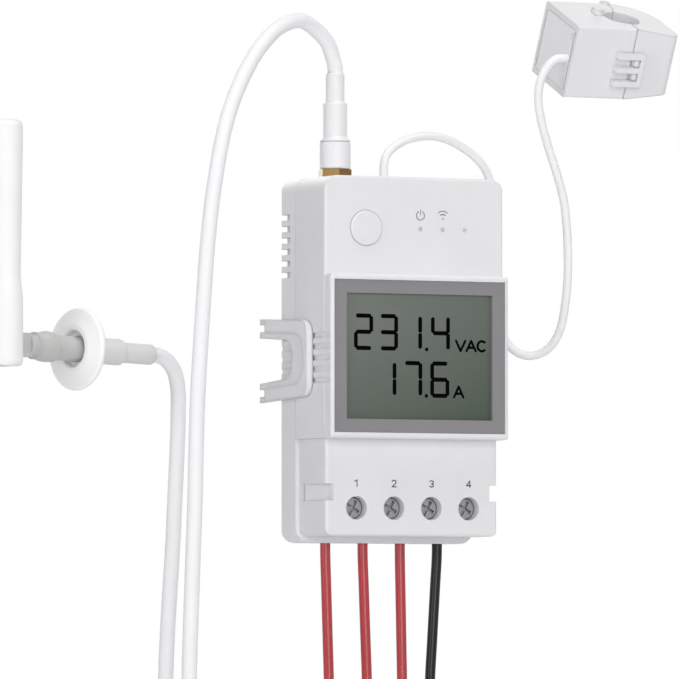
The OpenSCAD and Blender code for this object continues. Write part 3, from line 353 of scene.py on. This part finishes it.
terminal_front = 24.6
terminal_x = (-16.65, -5.35, 5.95, 17.25)
number_z, number_tall, number_wide, number_width = -33.2, 1.75, 1.225, 0.3
numerals = (
    [[(-0.45, 0.3), (0.1, 0.5), (0.1, -0.5)]],
    [
        [(-0.5, 0.27), (-0.35, 0.45), (0.0, 0.5), (0.35, 0.42), (0.45, 0.2)],
        [(0.45, 0.2), (0.3, 0.0), (-0.5, -0.5), (0.5, -0.5)],
    ],
    [
        [(-0.45, 0.38), (0.0, 0.5), (0.4, 0.4), (0.42, 0.15), (0.0, 0.02)],
        [(0.0, 0.02), (0.45, -0.12), (0.45, -0.38), (0.0, -0.5), (-0.48, -0.36)],
    ],
    [[(0.25, -0.5), (0.25, 0.5), (-0.55, -0.22), (0.55, -0.22)]],
)
numbers = []
for x, lines in zip(terminal_x, numerals):
    for line in lines:
        placed = [(x + u * number_wide, number_z + v * number_tall) for u, v in line]
        numbers += strokes(placed, number_width)
number_ink = finish("number_ink", tone(88, 88, 91), 0.6, grain=0.0, edge=0.0)
printed("terminal_numbers", numbers, terminal_front + ink_depth, number_ink)


# The installer's wires: three red and one black insulated wire out of the bottom of the terminals,
# each ended in a ferrule.
def smooth(route, step):
    """Points about step apart on a smooth curve through the route, in metres, from points in mm."""
    knots = [Vector(point) * MM for point in route]
    knots = [2 * knots[0] - knots[1], *knots, 2 * knots[-1] - knots[-2]]
    line = []
    for a, b, c, d in zip(knots, knots[1:], knots[2:], knots[3:]):
        t1 = (b - a).length ** 0.5
        t2 = t1 + (c - b).length ** 0.5
        t3 = t2 + (d - c).length ** 0.5
        count = max(1, round((c - b).length / step))
        for i in range(count):
            t = t1 + (t2 - t1) * i / count
            ab = a * ((t1 - t) / t1) + b * (t / t1)
            bc = b * ((t2 - t) / (t2 - t1)) + c * ((t - t1) / (t2 - t1))
            cd = c * ((t3 - t) / (t3 - t2)) + d * ((t - t2) / (t3 - t2))
            abc = ab * ((t2 - t) / t2) + bc * (t / t2)
            bcd = bc * ((t3 - t) / (t3 - t1)) + cd * ((t - t1) / (t3 - t1))
            line.append(abc * ((t2 - t) / (t2 - t1)) + bcd * ((t - t1) / (t2 - t1)))
    return [*line, knots[-2]]


lead_nodes = bpy.data.node_groups.new("lead", "GeometryNodeTree")
sockets = lead_nodes.interface
sockets.new_socket("Geometry", in_out="INPUT", socket_type="NodeSocketGeometry")
lead_radius = sockets.new_socket("Radius", in_out="INPUT", socket_type="NodeSocketFloat")
lead_sides = sockets.new_socket("Sides", in_out="INPUT", socket_type="NodeSocketInt")
lead_skin = sockets.new_socket("Insulation", in_out="INPUT", socket_type="NodeSocketMaterial")
sockets.new_socket("Geometry", in_out="OUTPUT", socket_type="NodeSocketGeometry")
given = lead_nodes.nodes.new("NodeGroupInput")
section = lead_nodes.nodes.new("GeometryNodeCurvePrimitiveCircle")
sweep = lead_nodes.nodes.new("GeometryNodeCurveToMesh")
sweep.inputs["Fill Caps"].default_value = True
soften = lead_nodes.nodes.new("GeometryNodeSetShadeSmooth")
realise = lead_nodes.nodes.new("GeometryNodeRealizeInstances")
coat = lead_nodes.nodes.new("GeometryNodeSetMaterial")
result = lead_nodes.nodes.new("NodeGroupOutput")
for source, target in (
    (given.outputs["Radius"], section.inputs["Radius"]),
    (given.outputs["Sides"], section.inputs["Resolution"]),
    (given.outputs["Geometry"], sweep.inputs["Curve"]),
    (section.outputs["Curve"], sweep.inputs["Profile Curve"]),
    (sweep.outputs["Mesh"], soften.inputs["Geometry"]),
    (soften.outputs["Geometry"], realise.inputs["Geometry"]),
    (realise.outputs["Geometry"], coat.inputs["Geometry"]),
    (given.outputs["Insulation"], coat.inputs["Material"]),
    (coat.outputs["Geometry"], result.inputs["Geometry"]),
):
    lead_nodes.links.new(source, target)


def lead(name, route, diameter, material):
    """A round lead along the route, in mm, standing for its CAD solid."""
    step, side_count = 0.9 * MM, 28
    line = smooth(route, step)
    track = bpy.data.curves.new(name + "_line", "CURVE")
    track.dimensions = "3D"
    spline = track.splines.new("POLY")
    spline.points.add(len(line) - 1)
    for point, spot in zip(spline.points, line):
        point.co = (*spot, 1.0)
    guide = bpy.data.objects.new(name + "_line", track)
    scene.collection.objects.link(guide)
    build = guide.modifiers.new("lead", "NODES")
    build.node_group = lead_nodes
    build[lead_radius.identifier] = diameter / 2 * MM
    build[lead_sides.identifier] = side_count
    build[lead_skin.identifier] = material
    built = guide.evaluated_get(bpy.context.evaluated_depsgraph_get())
    cable = bpy.data.objects.new(name + "_round", bpy.data.meshes.new_from_object(built))
    bpy.data.objects.remove(guide)
    scene.collection.objects.link(cable)
    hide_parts(name)
    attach(cable, "housing")


wire_d, wire_back = 2.8, -6.2
wire_top, wire_bend, wire_low, wire_end = -44.6, -52, -85, -88
red = finish("red_insulation", tone(178, 54, 60), 0.16, grain=0.0, edge=0.0, gloss=0.42)
black = finish("black_insulation", tone(15, 15, 17), 0.25, grain=0.0, edge=0.0, gloss=0.28)
wires = (
    ("wire_red_1", -15.6, red, "red_insulation"),
    ("wire_red_2", -4.1, red, "red_insulation"),
    ("wire_red_3", 6.6, red, "red_insulation"),
    ("wire_black", 15.2, black, "black_insulation"),
)
for x, (name, low, insulation, slot) in zip(terminal_x, wires):
    spread = [
        (x + (low - x) * share, wire_back, wire_bend + (wire_low - wire_bend) * share)
        for share in (0, 0.25, 0.5, 0.75, 1)
    ]
    lead(
        name,
        [(x, wire_back, wire_top), *spread, (low, wire_back, wire_end)],
        wire_d,
        insulation,
    )
dress(finish("tinned", tone(190, 190, 192), 0.3, metal=1.0), "wire_ferrules")

# The side clips: soft-edged U-shaped slides in the guide grooves of both sides, whose forked arms
# reach behind the rear face to a rail or bracket.
dress(finish("clip", tone(232, 231, 233), 0.42, edge=1.4 * MM), "side_clip_left", "side_clip_right")

# The aerial socket on top with its brass nut, and the lead's plug: a turning coupling and a long
# white sleeve.
dress(brass, "aerial_socket", "aerial_socket_nut")
dress(finish("plug", tone(238, 237, 239), 0.4, edge=0.0, gloss=0.3), "plug_coupling", "plug_sleeve")

# The antenna lead: a white round cable up out of the plug, over and down past the bottom of the
# picture, and back up to the antenna's sleeve.
antenna_lead_d = 4.1
plug_top = (-17.2, -13, 77.35)
lead_white = finish(
    "lead_white", tone(244, 244, 246), 0.5, grain=0.0, edge=0.0, gloss=0.15, mottle=0.01
)
lead(
    "antenna_lead",
    [
        plug_top, (-17.2, -13, 78.85), (-17.9, -13, 81.35), (-20, -14, 85.15),
        (-24.5, -15.5, 88.65), (-30.3, -18, 90.55), (-37.8, -21, 88.35), (-45.2, -24.5, 82.85),
        (-51.4, -28, 75.85), (-56.4, -30.5, 67.75), (-59.4, -32, 61), (-61.5, -33, 54.3),
        (-63.2, -33.9, 47.5), (-64.5, -34.4, 41), (-66.4, -35.2, 28), (-67.7, -35.7, 14.4),
        (-68.7, -35.8, 1), (-69.5, -35.8, -12), (-69.9, -35.8, -25), (-70.2, -35.8, -38),
        (-70.7, -35.8, -51), (-71.2, -35.8, -64.6), (-71.7, -35.8, -78), (-72, -35.6, -91),
        (-71.5, -33.4, -99), (-70.4, -28.6, -103.9), (-69, -23, -105.4), (-67.6, -17.4, -103.9),
        (-66.6, -12.4, -99), (-66.2, -10, -91), (-65.8, -9.8, -78), (-64.9, -9.5, -64.5),
        (-63.7, -9, -51), (-62.8, -8.5, -38), (-62, -8.2, -25), (-61.6, -8, -16),
        (-61.7, -8, -8), (-62.9, -8.1, -3.4), (-65.4, -8.35, -0.5), (-68.09, -8.67, 0.61),
        (-70.02, -9.18, 0.68),
    ],
    antenna_lead_d,
    lead_white,
)

# The antenna: the lead's sleeve runs into a round panel flange; from it a grey barrel swivels, and on
# the barrel's end a white mast tilts about its pin.
dress(finish("sleeve_grey", tone(220, 219, 220), 0.5, gloss=0.2), "socket_sleeve")
dress(finish("flange", tone(250, 250, 251), 0.4, edge=0.4 * MM), "panel_flange")
dress(brass, "panel_socket")
dress(finish("grey_barrel", tone(190, 189, 188), 0.42), "antenna_barrel")
mast_white = finish("mast", tone(246, 246, 246), 0.5, edge=0.3 * MM, gloss=0.15)
dress(mast_white, "antenna_mast", "antenna_pin")
dress(copper, "antenna_radiator")

# The clamp lead: a thin white cable out of a grommet on top, over and down behind the right side,
# and round to the current clamp. Its inner end runs on inside the housing.
clamp_lead_d = 2.3
grommet_top = (-2.4, -13, 49)
dress(finish("white_soft", tone(236, 235, 237), 0.5, gloss=0.2), "lead_grommet")
dress(lead_white, "clamp_inner_lead")
lead(
    "clamp_lead",
    [
        grommet_top, (-2.4, -13, 53), (-1.2, -12.8, 56), (2.8, -12, 58.9), (8, -11, 60.7),
        (13.2, -10, 61.3), (18.5, -9, 60.7), (23.5, -8, 59), (27.6, -7.4, 56.8), (31, -7, 54),
        (33.4, -6.5, 50), (34.6, -6, 44), (35, -6, 36), (35, -6, 28), (35, -6.5, 20),
        (35.3, -7.6, 13), (36.2, -9.2, 7.4), (38.4, -10.8, 3.8), (41.4, -12.6, 2.2),
        (44.8, -14.6, 2.8), (47.4, -16.6, 5.4), (49, -18.3, 10), (49.8, -19.5, 17),
        (50.2, -20, 24), (50.2, -20, 31), (49.8, -20, 38), (48.9, -20, 44.5), (47, -20, 51),
        (44.2, -20, 58.7), (42, -20.3, 65.4), (40.7, -20.8, 71.4), (41.1, -21.4, 76.5),
        (42.8, -22, 80.1), (45, -22.5, 82.3), (46.6, -22.53, 82.66), (48.6, -22.53, 82.66),
    ],
    clamp_lead_d,
    lead_white,
)

# The current clamp: a fixed half with an end cover, and a jaw that swings open on a pin at the rear
# and snaps shut with a toothed strap; inside, a split core and its winding.
clamp_white = tone(233, 232, 234)
dress(finish("clamp_shell", clamp_white, 0.28, edge=0.8 * MM), "clamp_body", "clamp_cap")
dress(finish("clamp_fine", clamp_white, 0.3, edge=0.4 * MM), "clamp_latch", "clamp_pin")
# The end cover's white is a lighter, bluer copy of the clamp's white: painted light, for the light
# falling on the clamp's end face.
dress(finish("clamp_end", tone(242, 242, 246), 0.36, edge=0.0), "clamp_end_cover")
dress(finish("ferrite", tone(58, 58, 62), 0.5), "clamp_core_fixed", "clamp_core_moving")
dress(copper, "clamp_winding")
